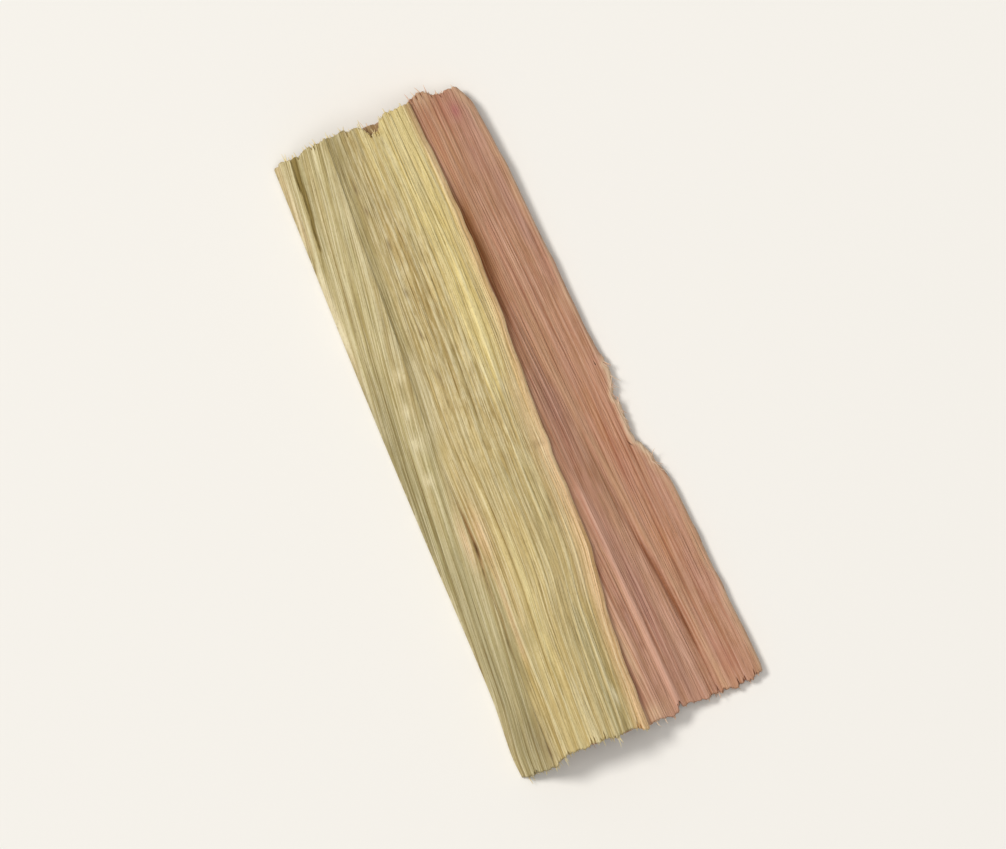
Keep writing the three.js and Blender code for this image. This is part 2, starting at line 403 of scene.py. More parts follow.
def hairline(x, y):
    reach = between(y, HAIRLINE_FOOT, HAIRLINE_TIP, HAIRLINE_FADE)
    return reach * bump(from_crack(x, y), HAIRLINE_WIDTH)


def lips(x, y):
    beside = bump(np.abs(from_crack(x, y)) - LIP_OFFSET, LIP_WIDTH)
    return between(y, LIPS_FOOT, LIPS_TIP, LIPS_FADE) * beside * (0.6 + 0.4 * wander(19, x, y, 0.15, 0.4))


def dull_crease(x, y, width=CREASE_LINE_WIDTH):
    """A wider line also lies further to the right of the fold."""
    aside = x - crease(y) - CREASE_LINE_OFFSET - 0.3 * (width - CREASE_LINE_WIDTH)
    return bump(aside, width) * smooth(y, *CREASE_LINE_STARTS)


def split(x, y):
    """1 inside the crack that runs in from the tip cut."""
    up = (y - SPLIT_APEX[1]) / (SPLIT_MOUTH[1] - SPLIT_APEX[1])
    line = mix(SPLIT_APEX[0], SPLIT_MOUTH[0], up) + 0.025 * wander(20, 0, y, 1, 0.5)
    half = 0.5 * mix(SPLIT_START, SPLIT_WIDTH, up)
    return smooth(half - np.abs(x - line), -0.02, 0.03) * smooth(up, 0, 0.1)


def crack_height(x, y):
    raised = LIP_HEIGHT * lips(x, y)
    fine = raised - HAIRLINE_DEPTH * hairline(x, y) - CREASE_LINE_DEPTH * dull_crease(x, y)
    return fine - HOLE_DEPTH * hole(x, y) - SPLIT_DEPTH * split(x, y)


# %% Relief of the outer sheath
RIB_DRIFT = 0.12
FLATTER_ON_FLANGE, FLATTER_WHERE_MOTTLED = 0.55, 0.25
PUCKER_HEIGHT, FINE_RIB_HEIGHT, STRAND_HEIGHT = 0.012, 0.007, 0.007
BUCKLE_HEIGHT, DIMPLE_HEIGHT = 0.03, 0.008


def mottled(x, y):
    """Where the skin puckered and went brown: the upper middle of the back."""
    return 0.2 + 0.8 * smooth(y, -3.5, 1.5) * bump(x + 0.4, 1.15)


def outer_relief(across, x, y):
    upright = rib_phase(across) + RIB_DRIFT * wander(11, across, y, 0.05, 2.4)
    on_flange = 1 - smooth(upright, FLANGE_RIBS - 0.3, FLANGE_RIBS + 0.3)
    in_band = smooth(upright, ALL_RIBS - 0.1, ALL_RIBS + 0.15)
    slant = np.where(across < OUTER_AT[1], FLANGE_SLANT * y, 0)
    phase = upright - slant
    stature = (
        (1 + 0.4 * wander(12, np.floor(phase), y, 1, 5)) * (1 - FLATTER_ON_FLANGE * on_flange)
        * (1 - in_band) * (1 - FLATTER_WHERE_MOTTLED * mottled(x, y))
    )
    puckers = wander(13, np.floor(2 * phase) * 3.7, y, 1, 0.4) * mottled(x, y)
    height = RIB_HEIGHT * stature * rib_shape(phase)
    height = height + PUCKER_HEIGHT * puckers * np.abs(np.sin(2 * np.pi * phase))
    height += FINE_RIB_HEIGHT * np.cos(4 * np.pi * phase) * (1 - in_band)
    height += STRAND_HEIGHT * wander(14, across - slant * OUTER_AT[1] / FLANGE_RIBS, y, 0.006, 3.5)
    height += BUCKLE_HEIGHT * wander(15, x, y, 1.1, 3.2) + DIMPLE_HEIGHT * wander(17, x, y, 0.3, 0.9)
    return height, phase, in_band, puckers


# %% [markdown]
# A knife doesn't cut dry fibres cleanly. Every vein stops at a slightly different place, and here and
# there the cut ran a little way into the sheath. The same function draws all four cuts.

# %% Cuts and edges
CRACKS = 10
CRACK_PLACES, CRACK_DEPTHS, CRACK_WIDTHS = (0.03, 0.97), (0.04, 0.26), (0.003, 0.007)
VEIN_STEP, FIBRE_STEP = 0.045, 0.011
MARGIN_ROUNDING, FLANGE_ROUNDING, CUT_ROUNDING = 0.05, 0.08, 0.04
EDGE_BULGE, CUT_ROUGHNESS = 0.03, 0.03


def ragged(line, seed, inward, size):
    """A cut that stops a little differently at every vein and fibre, with some cracks that run inwards."""
    dice = np.random.default_rng(seed)
    spans = (CRACK_PLACES, CRACK_DEPTHS, CRACK_WIDTHS)
    places, depths, widths = (dice.uniform(*span, CRACKS) for span in spans)

    def cut(x, across):
        steps = wander(seed, across, 0, VEIN_STEP, 1) + 0.7 * wander(seed + 1, across, 0, FIBRE_STEP, 1)
        edge = line(x) + size * steps
        for place, depth, width in zip(places, depths, widths):
            edge = edge + inward * depth * bump(across - place, width)
        return edge

    return cut


def edge_rounding(distance, radius):
    """How far a face falls away towards an edge that is this far off."""
    t = np.clip(1 - distance / radius, 0, 1)
    return radius * (1 - np.sqrt(1 - t**2))


def wall_bulge(seed):
    """Side margins bulge outwards into a soft edge, and cut ends are rough with the ends of fibres."""
    def bulge(point, outward, share):
        end = smooth(np.abs(outward[:, 1]), 0.5, 0.9)
        rough = CUT_ROUGHNESS * wander(seed, point[:, 0], share * 10, 0.05, 1.0)
        return mix(EDGE_BULGE * np.sin(np.pi * share), rough, end)

    return bulge


def to_nearer_end(along):
    return np.minimum(along, 1 - along) * (TIP_Y - FOOT_Y)


# %% Build the outer sheath
BAND_WIDTH = 0.28
LEAST_THICKNESS = 0.1


def band_edge(y):
    return outer_margin(y) - BAND_WIDTH


def build_outer_sheath():
    across, along, x, y = grid(
        [flange_edge, crease, band_edge, outer_margin], OUTER_AT, sum(OUTER_COLUMNS),
        ragged(outer_foot, 21, 1, 0.045), ragged(outer_tip, 23, -1, 0.045),
    )
    relief, phase, in_band, puckers = outer_relief(across, x, y)
    to_edge, to_margin = x - flange_edge(y), outer_margin(y) - x
    x = x + 0.025 * wander(25, 0, y, 1, 0.45) * smooth(to_margin, 0.3, 0)
    fade = smooth(to_edge, 0, 0.1) * smooth(to_margin, 0, 0.1)
    form = outer_top(x, y) + 0.03 * wander(18, x, y, 2.6, 4.1)
    z = form + relief * fade + crack_height(x, y)
    z -= (
        edge_rounding(to_margin, MARGIN_ROUNDING) + edge_rounding(to_edge, FLANGE_ROUNDING)
        + edge_rounding(to_nearer_end(along), CUT_ROUNDING)
    )
    z_under = form - drop(outer_top, x, y, outer_thickness(x, y)) + 0.01 * wander(27, x, y, 0.2, 4)
    z_under = np.clip(z_under, 0, z - LEAST_THICKNESS)
    top, under = np.stack([x, y, z], -1), np.stack([x, y, z_under], -1)
    marks = outer_marks(phase, in_band, puckers, x, y)
    return closed_sheet("outer_sheath_fine", top, under, wall_bulge(26), marks), top, under


# %% [markdown]
# Colour follows the growth too: the flange is greener, the margin is peach, and where the skin dimpled it
# went brown. Each of these is worked out here, where the lines are at hand, and is stored on the mesh as
# a value from 0 to 1. The finish further down reads them by name.

# %% Marks for the finish of the outer sheath
# Spots are x, y, half width and half length. DULL_EDGE_WIDTH and BAND_STEP are a width and a place along y.
PALE_BLOTCHES = [
    (-2.06, 2.44, 0.15, 0.19), (-2.29, 1.45, 0.15, 0.2), (-2.41, 0.54, 0.15, 0.18),
    (-2.52, -0.54, 0.13, 0.16), (0.45, 1.04, 0.05, 0.35), (0.13, 1.62, 0.04, 0.3), (0.35, 8.2, 0.05, 0.4),
    (-2.85, 5.8, 0.07, 0.2), (-2.98, 4.1, 0.07, 0.4), (-0.35, -8.05, 0.06, 0.3),
]
BROWN_SPECKS = [
    (0.10, -2.81, 0.03, 0.14), (-2.64, -8.75, 0.045, 0.22), (0.28, 8.44, 0.025, 0.14),
    (-0.95, 7.6, 0.05, 0.16), (-0.93, 6.9, 0.05, 0.14), (-0.75, 5.85, 0.05, 0.16), (-0.9, 4.4, 0.05, 0.16),
    (-1.02, 3.2, 0.04, 0.16), (-1.05, 2.0, 0.05, 0.2),
]
DULL_FOOT = (-2.9, -8.2, 0.5, 1.2)
BROWN_FOOT = (-2.8, -8.4, 0.35, 0.8)
BAND_STAIN = (0.72, -0.88, 0.28, 0.07)
DULL_EDGE_WIDTH = 0.7
BAND_STEP = -0.8

# %% Streaks of another tone that run with the veins, and painted highlights along the flange's edge
# Each is how far across, half width, foot end, tip end and strength. Across is -1 at the flange's edge, 0 at
# the crease and 1 at the margin. A streak that slants has [y, across] stations instead.
STREAK_FADE = 0.9
STREAKS = {
    "pale": [
        # The first two on the next line lie along the flange's edge: painted highlight.
        (-0.87, 0.1, 6.2, 9.9, 0.35), (-0.93, 0.07, 0.5, 6.3, 0.5), (-0.14, 0.07, 4.8, 8.6, 0.3),
        (
            [[-8, -0.93], [-4.6, -0.75], [-3, -0.69], [-1.4, -0.57], [1, -0.37], [3.4, -0.22]],
            0.08, -8.6, 4.4, 0.15,
        ),
        (
            [[-8.4, -0.42], [-7, -0.4], [-5.4, -0.28], [-3.8, -0.23], [-2.2, -0.19], [-0.6, -0.07]],
            0.08, -9.2, -0.2, 0.25,
        ),
        ([[1.0, -0.19], [1.8, -0.15], [2.6, -0.1]], 0.08, -0.3, 3.8, 0.55),
        ([[5.4, -0.42], [6.6, -0.28], [7.4, -0.27]], 0.06, 4.8, 8.0, 0.2),
        (0.07, 0.05, 0.0, 3.2, 0.6), (0.15, 0.05, -2.1, -0.3, 0.3),
        (0.47, 0.03, -9.9, -6.6, 0.5), (0.33, 0.02, -7.2, -2.6, 0.3), (0.13, 0.02, -6.0, -3.4, 0.2),
        (0.5, 0.1, -9.9, -3.4, 0.2), (0.74, 0.08, 6.0, 9.4, 0.5),
    ],
    "sunny": [
        (0.76, 0.2, 5.4, 9.9, 1.0), (0.8, 0.035, 4.6, 6.5, 1.0), (0.71, 0.06, 0.4, 4.2, 0.9),
        (0.4, 0.08, 6.8, 9.9, 0.5), (0.47, 0.05, -9.9, -2.6, 0.2), (0.33, 0.03, -7.4, -2.4, 0.5),
        (0.58, 0.07, -9.9, -3.2, 0.15),
    ],
    "green": [
        (0.71, 0.035, -9.9, -5.2, 0.9), (0.61, 0.04, -9.9, -5.6, 0.5), (0.5, 0.06, -2.6, -0.6, 0.5),
        (-0.8, 0.1, -7.4, -0.8, 0.8), (-0.3, 0.12, 2.6, 5.2, 0.2), (0.74, 0.08, -3.2, -0.4, 0.25),
    ],
    "shade": [
        (0.8, 0.035, -9.9, -5.4, 0.55),
        ([[5.6, -0.53], [6.6, -0.43], [7.4, -0.4], [8.2, -0.35]], 0.05, 5.6, 9.9, 0.45),
        ([[6.3, -0.75], [6.6, -0.69], [7.4, -0.65], [8.2, -0.6]], 0.06, 5.6, 9.2, 0.9),
        (-0.78, 0.1, 3.8, 5.8, 0.3),
        (
            [
                [-8.6, -0.66], [-7, -0.67], [-5.4, -0.63], [-3.8, -0.55], [-2.2, -0.44], [-0.6, -0.2],
                [0.6, -0.07],
            ],
            0.11, -9.2, 1.0, 0.7,
        ),
        ([[-8.6, -0.25], [-7, -0.17], [-5.4, 0.0]], 0.09, -8.6, -4.8, 0.8),
        (
            [[-1.4, -0.92], [-0.6, -0.81], [0.2, -0.77], [1.0, -0.68], [1.8, -0.6], [3.4, -0.55]],
            0.1, -2.0, 3.2, 0.5,
        ),
        (0.46, 0.03, -0.4, 3.2, 0.4), (0.55, 0.03, -8.2, -2.8, 0.15), (0.23, 0.03, -6.4, -3.6, 0.35),
        ([[5.2, 0.46], [6.8, 0.51], [8.4, 0.57]], 0.04, 4.6, 9.9, 0.5),
        (0.03, 0.03, -7.4, -2.9, 0.9), (0.64, 0.05, 4.8, 6.8, 0.2), (0.18, 0.13, 7.9, 9.9, 0.35),
        (0.3, 0.2, 6.2, 9.9, 0.2), (-0.9, 0.16, -8.8, -2.4, 0.45), (0.13, 0.08, -6.4, -3.6, 0.28),
        (-0.08, 0.06, -0.8, 3.6, 0.2), (0.19, 0.045, 1.4, 9.0, 0.35), (0.69, 0.04, 4.4, 6.6, 0.35),
        (0.05, 0.06, -5.4, -3.6, 0.35), (0.17, 0.06, -7.4, -4.8, 0.3), (0.38, 0.03, -6.8, -4.4, 0.35),
        (0.33, 0.03, -9.9, -7.8, 0.4), (0.64, 0.03, -4.0, -1.6, 0.3), (0.29, 0.05, -0.4, 1.2, 0.25),
    ],
    "peach": [
        # The third on the next line and the first on the line after lie along the flange's edge: painted
        # highlight in peach.
        (0.1, 0.025, -6.6, -3.2, 0.8), (0.2, 0.05, -5.8, -3.0, 0.25), (-0.95, 0.06, 6.2, 9.9, 0.5),
        (-0.96, 0.05, 2.5, 6.0, 0.35), (0.86, 0.06, -5.6, 1.6, 0.4),
    ],
}


def streaks(name, across, y):
    total = 0
    for at, width, foot, tip, size in STREAKS[name]:
        line = curve_through(*at)(y) if isinstance(at, list) else at
        total = total + size * bump(across - line, width) * between(y, foot, tip, STREAK_FADE)
    return total


# %% Where each tone of the outer sheath lies
def blot(x, y, at_x, at_y, wide, tall):
    return np.exp(-(((x - at_x) / wide) ** 2) - ((y - at_y) / tall) ** 2)


def blots(x, y, spots):
    return sum(blot(x, y, *spot) for spot in spots)


def streaky_marks(x, y):
    """The marks that have streaks as well as broad places of their own."""
    away = x - crease(y)
    to_edge, to_margin = x - flange_edge(y), outer_margin(y) - x
    across = away / np.where(away < 0, crease(y) - flange_edge(y), outer_margin(y) - crease(y))
    sunny_tip = 1.2 * smooth(y, -0.5, 4) * bump(to_margin - 0.5, 0.6)
    sunny_foot = 0.3 * bump(away - 0.75, 0.45) * (1 - smooth(y, -4, -1))
    peach_lips = blot(away, y, 0.3, -2.5, 0.2, 0.8) + blot(away, y, -0.18, -2.55, 0.13, 0.75)
    dull_foot = 0.35 * blot(x, y, *DULL_FOOT)
    dull_edge = smooth(to_edge, DULL_EDGE_WIDTH, 0.1) * between(y, -4.0, 4.0, 2.5)
    dull_flange = 0.4 * smooth(across, 0.03, -0.06) * smooth(across, -1.0, -0.7) * between(y, -11, -1.5, 2)
    broad = {
        "green": 0.8 * (1 - smooth(away, -0.3, 0.2)),
        "sunny": sunny_tip + sunny_foot,
        "pale": blots(x, y, PALE_BLOTCHES),
        "peach": peach_lips,
        "shade": dull_crease(x, y, 0.22) + dull_foot + 0.95 * dull_edge + dull_flange,
    }
    return {name: np.clip(value + streaks(name, across, y), 0, 1) for name, value in broad.items()}


def outer_marks(phase, in_band, puckers, x, y):
    away, to_margin = x - crease(y), outer_margin(y) - x
    low_half = 1 - smooth(y, BAND_STEP - 0.06, BAND_STEP + 0.06)
    rusty_crack = np.clip(hairline(x, y), 0, 1) * mix(0.3, 1, smooth(y, -3.6, -2.9))
    # Painted shade: the last part of the margin in the tip half is darkened towards reddish brown.
    painted_margin_shade = 0.33 * bump(to_margin - 0.05, 0.16) * smooth(y, 3.4, 4.8)
    brown = 0.6 * blots(x, y, BROWN_SPECKS) + 0.7 * hole(x, y) + 0.25 * blot(x, y, *BROWN_FOOT)
    groove = (1 - rib_shape(phase)) * (1 - in_band) * (1 - 0.35 * mottled(x, y))
    return streaky_marks(x, y) | {
        "phase": phase,
        "along": y,
        "groove": np.clip(groove, 0, 1),
        "band": smooth(to_margin, 0.5, 0.3) * (1 - smooth(y, 3.5, 6.5)) * mix(1, 0.6, low_half),
        "peach_band": mix(0.9 * bump(to_margin - 0.02, 0.13), smooth(to_margin, 0.38, 0.12), low_half),
        "mottle": mottled(x, y) * (1 - in_band) * (1 - smooth(-away, 0, 0.5)),
        "pucker": np.clip(0.5 - 0.5 * puckers, 0, 1),
        "rust_and_shade": rusty_crack + 0.5 * blot(x, y, *BAND_STAIN) + painted_margin_shade,
        "golden": smooth(y, 3, 7) * smooth(away, -0.1, 0.3),
        # Painted shade: the split is coloured dark olive-brown, like the shade seen through a crack that goes
        # right through.
        "split": np.clip(split(x, y), 0, 1),
        "brown": np.clip(brown, 0, 1),
    }


outer_sheath, outer_upper, outer_lower = build_outer_sheath()

# %% [markdown]
# ## The inner sheath
#
# The younger sheath underneath is nearly smooth. It has one long ridge with a groove beside it, and four
# lesser pleats that fan out towards the foot. Its free margin has torn part of the way along.

# %% Relief of the inner sheath
PLEATS = [(1.16, -1.6, 1.2), (0.6, -5.0, 0.8), (1.56, -3.2, 0.5), (1.9, -5.5, 0.7)]
PLEAT_WIDTH, PLEAT_HEIGHT, PLEAT_RUN_OUT = 0.1, 0.07, 1.5
RIDGE_WIDTH, RIDGE_HEIGHT = 0.1, 0.07
GROOVE_OFFSET, GROOVE_WIDTH, GROOVE_DEPTH = 0.19, 0.055, 0.11
GROOVE_FOOT, GROOVE_TIP, GROOVE_FADE = -9.9, -2.2, 3.4
TORN_FOOT, TORN_TIP, TORN_FADE = -2.9, 0.7, 0.4
INNER_RIB_SPACING, INNER_RIB_HEIGHT = 0.27, 0.016
INNER_STRAND_HEIGHT, INNER_BUCKLE_HEIGHT, INNER_DIMPLE_HEIGHT = 0.005, 0.02, 0.007


def fades_at(y, end):
    return 1 - smooth(y, end - PLEAT_RUN_OUT, end)


def from_ridge(x, y):
    return x - ridge(y) - 0.025 * wander(31, 0, y, 1, 1.2)


def ridge_line(x, y, width):
    return (1 - 0.85 * smooth(y, 0.5, 4.5)) * bump(from_ridge(x, y), width)


def wavy(at, y):
    return at + 0.03 * wander(32, at * 9, y, 1, 1.5)


def pleat_lines(x, y, width):
    return sum(size * fades_at(y, end) * bump(x - wavy(at, y), width) for at, end, size in PLEATS)


def groove_line(x, y, width):
    return between(y, GROOVE_FOOT, GROOVE_TIP, GROOVE_FADE) * bump(from_ridge(x, y) + GROOVE_OFFSET, width)


def inner_phase(x, y):
    return (x + 0.05 * wander(33, x, y, 0.5, 3)) / INNER_RIB_SPACING


def inner_relief(across, x, y):
    folds = RIDGE_HEIGHT * ridge_line(x, y, RIDGE_WIDTH) + PLEAT_HEIGHT * pleat_lines(x, y, PLEAT_WIDTH)
    height = folds - GROOVE_DEPTH * groove_line(x, y, GROOVE_WIDTH)
    height += INNER_RIB_HEIGHT * rib_shape(inner_phase(x, y)) * (1 + 0.5 * wander(38, x, y, 0.27, 1.4))
    height += INNER_STRAND_HEIGHT * wander(39, across, y, 0.006, 3.5)
    height = height + INNER_BUCKLE_HEIGHT * wander(34, x, y, 0.9, 2.6)
    return height + INNER_DIMPLE_HEIGHT * wander(35, x, y, 0.2, 0.5)


def torn(y):
    return between(y, TORN_FOOT, TORN_TIP, TORN_FADE)


def torn_margin(y):
    return inner_margin(y) + 0.02 * wander(36, 0, y, 1, 0.5) + torn(y) * 0.07 * wander(37, 0, y, 1, 0.16)


# %% Build the inner sheath
TUCKED_FROM = 0.1
INNER_COLUMNS = (46, 60, 22, 82)
INNER_AT = stops(*INNER_COLUMNS)
INNER_MARGIN_ROUNDING = 0.06
INNER_MARGIN_THINNING, INNER_THINNING_WIDTH = 0.14, 0.6


def tucked_edge(y):
    return crease(y) + TUCKED_FROM


def groove_middle(y):
    return ridge(y) - GROOVE_OFFSET


def build_inner_sheath():
    across, along, x, y = grid(
        [tucked_edge, outer_margin, groove_middle, ridge, torn_margin], INNER_AT, sum(INNER_COLUMNS),
        ragged(inner_foot, 41, 1, 0.05), ragged(inner_tip, 43, -1, 0.035),
    )
    to_margin = torn_margin(y) - x
    bare = smooth(x - outer_margin(y), -0.1, 0.15)
    form = inner_top(x, y) + 0.02 * wander(45, x, y, 2.2, 3.7) * bare
    z = form + inner_relief(across, x, y) * bare * smooth(to_margin, 0, 0.12)
    z -= edge_rounding(to_margin, INNER_MARGIN_ROUNDING) + edge_rounding(to_nearer_end(along), CUT_ROUNDING)
    thickness = INNER_THICKNESS - INNER_MARGIN_THINNING * smooth(to_margin, INNER_THINNING_WIDTH, 0)
    z_under = form - drop(inner_top, x, y, thickness) + 0.008 * wander(46, x, y, 0.2, 4)
    z_under = np.clip(z_under, 0, z - LEAST_THICKNESS)
    top, under = np.stack([x, y, z], -1), np.stack([x, y, z_under], -1)
    marks = inner_marks(x, y, to_margin)
    return closed_sheet("inner_sheath_fine", top, under, wall_bulge(47), marks), top, under


# %% Marks for the finish of the inner sheath
PLUM_PATCHES = [
    (1.4, 0.0, 0.3, 0.9), (1.45, -5.5, 0.16, 2.6), (1.58, -8.3, 0.18, 0.9), (0.85, -6.6, 0.09, 1.2),
    (2.75, 6.0, 0.2, 1.0), (2.82, 8.1, 0.14, 0.6), (2.83, 4.6, 0.14, 0.6),
]
UMBER_PATCHES = [
    (1.45, 1.5, 0.2, 1.1), (1.7, -1.5, 0.28, 1.3), (1.95, -3.2, 0.15, 0.8), (1.62, -7.3, 0.13, 1.2),
    (2.75, -5.9, 0.13, 0.8), (1.5, 1.6, 0.14, 0.8), (1.27, 0.3, 0.1, 0.5), (1.15, -1.7, 0.1, 1.2),
    (1.8, -1.3, 0.14, 1.6), (2.97, 1.6, 0.12, 0.7), (2.04, -3.7, 0.08, 0.5), (1.8, -7.1, 0.1, 0.7),
    (1.48, -8.5, 0.1, 0.4),
]
RED_PATCHES = [(2.95, -8.6, 0.3, 0.6), (2.6, -2.4, 0.3, 1.0), (2.2, 8.6, 0.3, 0.5)]
ORANGE_PATCHES = [(2.5, -1.2, 0.4, 1.6), (2.6, -5.0, 0.3, 1.2), (1.55, 7.7, 0.55, 1.2)]
# The first patch is painted light: it lightens the panel where it slopes away from the lamp.
LIGHT_PATCHES = [
    (2.2, 4.6, 0.5, 1.8), (2.35, 1.9, 0.5, 1.0), (1.22, 2.0, 0.09, 1.2), (1.08, 0.1, 0.09, 0.9),
    (1.38, 3.5, 0.08, 0.7), (1.75, 7.7, 0.25, 1.0), (0.58, -6.0, 0.2, 1.6), (1.1, -6.8, 0.2, 0.9),
    (2.6, 6.0, 0.1, 0.5), (1.24, -7.2, 0.08, 0.9), (2.26, -7.8, 0.1, 1.0),
]
SALMON_PATCHES = [(1.9, 4.8, 0.22, 0.6), (2.0, 3.4, 0.2, 0.6)]
DULL_TIP = (0.15, 8.95, 0.4, 0.35)
MAGENTA_SPOT = (2.48, 8.42, 0.11, 0.22)
DARK_DOTS = [
    (0.9, -7.15, 0.06, 0.16), (0.86, -6.0, 0.05, 0.14), (1.7, -2.3, 0.08, 0.35), (1.33, 3.1, 0.1, 0.6),
]
FRAYED_SPOTS = [(0.42, -9.0, 0.35, 0.3), (1.7, 9.2, 0.28, 0.3), (0.45, -7.3, 0.12, 0.9)]


def inner_marks(x, y, to_margin):
    patches = {
        "plum": PLUM_PATCHES,
        "red": RED_PATCHES,
        "orange": ORANGE_PATCHES,
        "salmon": SALMON_PATCHES,
        "umber": UMBER_PATCHES,
        "light": LIGHT_PATCHES,
        "dark": DARK_DOTS,
    }
    return {name: np.clip(blots(x, y, spots), 0, 1) for name, spots in patches.items()} | {
        "phase": inner_phase(x, y),
        "along": y,
        # The ridge's pale line sits a little to its lit side, and the pleats are paler: partly painted
        # highlight.
        "ridge": np.clip(ridge_line(x - 0.05, y, 0.11), 0, 1),
        "pleat": np.clip(pleat_lines(x, y, PLEAT_WIDTH), 0, 1),
        "groove": np.clip(groove_line(x, y, 0.06), 0, 1) * mix(0.25, 1, smooth(y, -9.2, -7.0)),
        # Painted shadow: warm brown on the rose just right of the outer sheath's lifted margin, where its
        # shadow falls.
        "painted_margin_shadow": bump(x - outer_margin(y) - 0.1, 0.19) * smooth(y, 0.2, 5.0) * (1 - smooth(y, 5.4, 7.0)),
        "dull": blot(x, y, *DULL_TIP),
        "spot": blot(x, y, *MAGENTA_SPOT),
        "edge": smooth(to_margin + 0.07 * wander(40, 0, y, 1, 0.8), 0.25, 0.02),
        "torn": torn(y) * smooth(to_margin, 0.16, 0.02),
        "frayed": blots(x, y, FRAYED_SPOTS),
    }


inner_sheath, inner_upper, inner_lower = build_inner_sheath()

# %% [markdown]
# ## Loose fibre ends
#
# The stiff strands inside the veins outlast the soft tissue round them, so some of them stand out of
# every cut and along the tear, like bristles. Hair curves would be quick, but they don't survive an
# export. Each fibre is a small closed tube instead: rings of five points round a bent line, rooted in the
# sheath.

# %% One fibre
FIBRE_SIDES, FIBRE_RINGS = 5, 6
FIBRE_TAPER = 0.75


def fibre(root, direction, length, radius, bend):
    """Points and faces of a tapered tube that leaves root in this direction and bends aside."""
    t = np.linspace(0, 1, FIBRE_RINGS)[:, None, None]
    angle = np.linspace(0, 2 * np.pi, FIBRE_SIDES, endpoint=False)[None, :, None]
    side = np.cross(direction, [0, 0, 1.0])
    side /= np.linalg.norm(side)
    up = np.cross(side, direction)
    ring = np.cos(angle) * side + np.sin(angle) * up
    points = root + direction * length * t + bend * length * t**2 + ring * radius * (1 - FIBRE_TAPER * t**2)
    first_ring = tuple(range(FIBRE_SIDES))
    faces = [first_ring[::-1], tuple((FIBRE_RINGS - 1) * FIBRE_SIDES + k for k in first_ring)]
    for row in range(FIBRE_RINGS - 1):
        for k in first_ring:
            a, b = row * FIBRE_SIDES + k, row * FIBRE_SIDES + (k + 1) % FIBRE_SIDES
            faces.append((a, b, b + FIBRE_SIDES, a + FIBRE_SIDES))
    return points.reshape(-1, 3), faces


def bundle(name, fibres_of, seed):
    """One object of many fibres. fibres_of gives root, direction, length, radius and bend of each, in mm."""
    points, faces, tone = [], [], []
    dice = np.random.default_rng(seed)
    for root, direction, length, radius, bend in fibres_of(dice):
        direction = np.array(direction) / np.linalg.norm(direction)
        new_points, new_faces = fibre(np.array(root), direction, length, radius, np.array(bend))
        faces += [tuple(len(tone) + corner for corner in face) for face in new_faces]
        points.append(new_points)
        tone += [dice.random()] * len(new_points)
    mesh = bpy.data.meshes.new(name)
    mesh.from_pydata((np.concatenate(points) * MM).tolist(), [], faces)
    mesh.attributes.new("tone", "FLOAT", "POINT").data.foreach_set("value", tone)
    mesh.shade_smooth()
    print(name, "has", len(points), "fibres")
    return add_object(name, mesh)


# %% Fibres along the cuts and the tear
ROOT_DEPTH = 0.08
MEAN_LENGTH, LONGEST = 0.06, 0.28
OUTER_FIBRES, INNER_FIBRES, TEAR_FIBRES = 90, 70, 40


def cut_fibres(dice, upper, lower, row, outward, count):
    """Fibres that leave one cut end. outward is 1 at the tip and -1 at the foot."""
    for column in dice.integers(4, upper.shape[1] - 4, count):
        share = dice.uniform(0.08, 0.8)
        root = mix(upper[row, column], lower[row, column], share) - [0, outward * ROOT_DEPTH, 0]
        length = ROOT_DEPTH + min(dice.exponential(MEAN_LENGTH), LONGEST)
        direction = [dice.normal(0, 0.07), outward, dice.normal(0, 0.08)]
        bend = [dice.normal(0, 0.1), 0, dice.normal(0, 0.08)]
        yield root, direction, length, dice.uniform(0.012, 0.026), bend


def outer_fibres(dice):
    yield from cut_fibres(dice, outer_upper, outer_lower, 0, -1, OUTER_FIBRES)
    yield from cut_fibres(dice, outer_upper, outer_lower, -1, 1, OUTER_FIBRES)


def inner_fibres(dice):
    yield from cut_fibres(dice, inner_upper, inner_lower, 0, -1, INNER_FIBRES)
    yield from cut_fibres(dice, inner_upper, inner_lower, -1, 1, INNER_FIBRES)
    for y in dice.uniform(TORN_FOOT + 0.1, TORN_TIP - 0.1, TEAR_FIBRES):
        root = [torn_margin(y) - 0.06, y, dice.uniform(0.3, 0.42)]
        along = dice.choice([-1, 1], p=[0.7, 0.3])
        direction = [dice.uniform(0.15, 0.7), along, dice.normal(0, 0.1)]
        bend = [dice.normal(0.1, 0.25), 0, dice.normal(0, 0.1)]
        yield root, direction, dice.uniform(0.12, 0.42), dice.uniform(0.009, 0.018), bend


outer_ends = bundle("outer_sheath_fibres", outer_fibres, 51)
inner_ends = bundle("inner_sheath_fibres", inner_fibres, 52)

# %% [markdown]
# ## Shader maths as Python
#
# A finish is a formula: mix this colour into that one where a rib is low. Blender's nodes can hold any
# formula, but one Math node for every sign is hard to read. The small class below wraps a socket so that
# + - * / and ** work on it and each adds the node it needs. Everything else comes from one method that
# makes any node. A finish is then painted in layers: each one lays a tone over the colour so far, as
# strongly as its share says.

